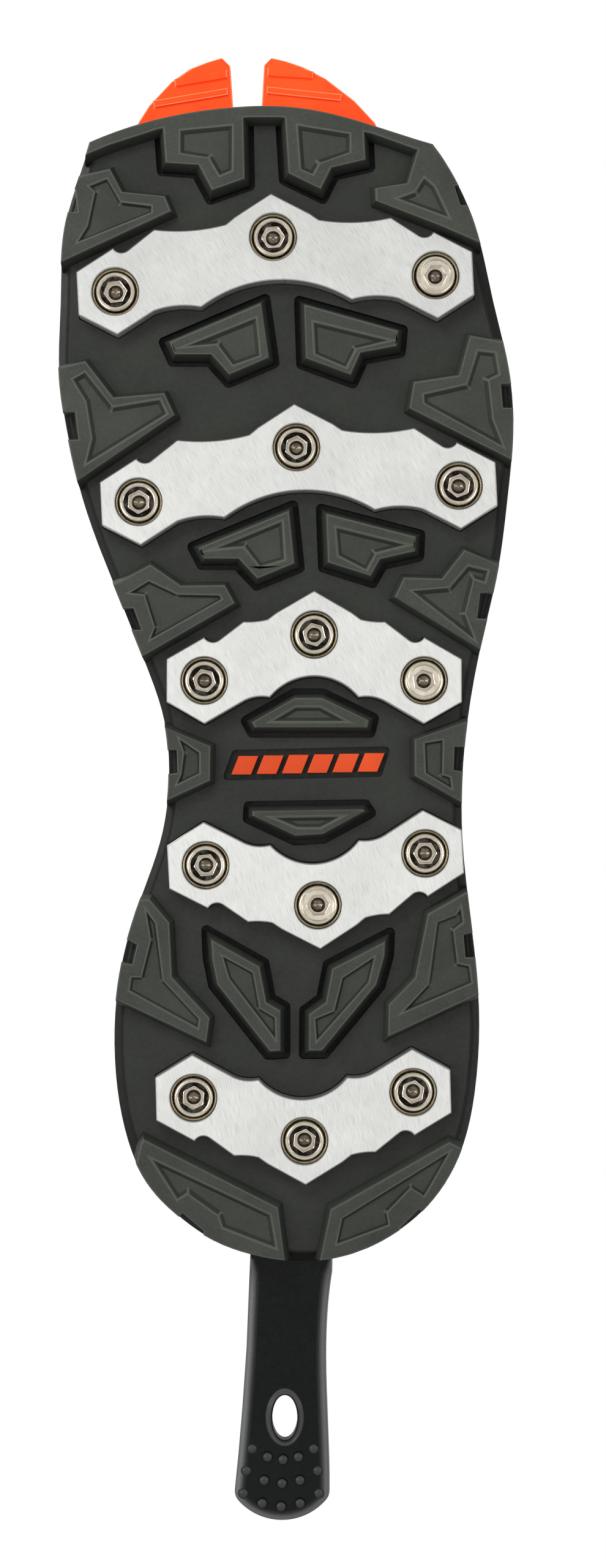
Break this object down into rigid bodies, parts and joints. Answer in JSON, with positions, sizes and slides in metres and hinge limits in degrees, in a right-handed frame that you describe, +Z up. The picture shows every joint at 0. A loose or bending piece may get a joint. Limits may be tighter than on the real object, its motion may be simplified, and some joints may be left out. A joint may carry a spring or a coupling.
{
  "type": "ice traction outsole",
  "caption": "Interchangeable boot outsole for ice: rubber tread with bolted hexagonal-ended aluminium traction bars, toe lock tabs and a heel strap with an oval hook hole.",
  "frame": {"origin": "middle of the whole object's length and width, on the ground that the traction bars stand on", "axes": "+Z up from the ground towards the boot, +Y from toe to heel strap (the longest extent), -X the arch side of a left foot"},
  "size_m": [0.123, 0.3944, 0.0205],
  "materials": {
    "tread_rubber": "charcoal moulded rubber, fine matte grain",
    "wall_rubber": "smooth satin moulded rubber, a little lighter than the tread",
    "lock_nylon": "bright orange moulded nylon, satin",
    "inlay_plastic": "orange moulded rubber, matte",
    "strap_rubber": "black elastomer, smooth and glossy",
    "bar_aluminium": "bright brushed plate, machined counterbores",
    "washer_steel": "nickel plated",
    "screw_steel": "nickel plated, warm",
    "insert_brass": "turned"
  },
  "bodies": {
    "rearfoot": {"outsole_rearfoot": "tread_rubber", "side_wall_rearfoot": "wall_rubber", "lock_plate_rearfoot": "lock_nylon", "heel_strap_root": "strap_rubber", "accent_inlay": "inlay_plastic", "arch_bar": "bar_aluminium", "arch_bar_washers": "washer_steel", "arch_bar_screws": "screw_steel", "arch_bar_inserts": "insert_brass", "heel_front_bar": "bar_aluminium", "heel_front_bar_washers": "washer_steel", "heel_front_bar_screws": "screw_steel", "heel_front_bar_inserts": "insert_brass", "heel_rear_bar": "bar_aluminium", "heel_rear_bar_washers": "washer_steel", "heel_rear_bar_screws": "screw_steel", "heel_rear_bar_inserts": "insert_brass"},
    "forefoot": {"outsole_forefoot": "tread_rubber", "side_wall_forefoot": "wall_rubber", "lock_plate_forefoot": "lock_nylon", "toe_bar": "bar_aluminium", "toe_bar_washers": "washer_steel", "toe_bar_screws": "screw_steel", "toe_bar_inserts": "insert_brass", "ball_bar": "bar_aluminium", "ball_bar_washers": "washer_steel", "ball_bar_screws": "screw_steel", "ball_bar_inserts": "insert_brass"},
    "strap": {"heel_strap": "strap_rubber"}
  },
  "joints": [
    {"name": "toe_flex", "type": "hinge", "parent": "rearfoot", "child": "forefoot", "pos_m": [0, -0.059, 0.014], "axis": [-1, 0, 0], "range_deg": [0, 30], "stiffness_Nm_per_rad": 3},
    {"name": "strap_flex", "type": "hinge", "parent": "rearfoot", "child": "strap", "pos_m": [0, 0.1284, 0.014], "axis": [1, 0, 0], "range_deg": [0, 95], "stiffness_Nm_per_rad": 0.15}
  ]
}
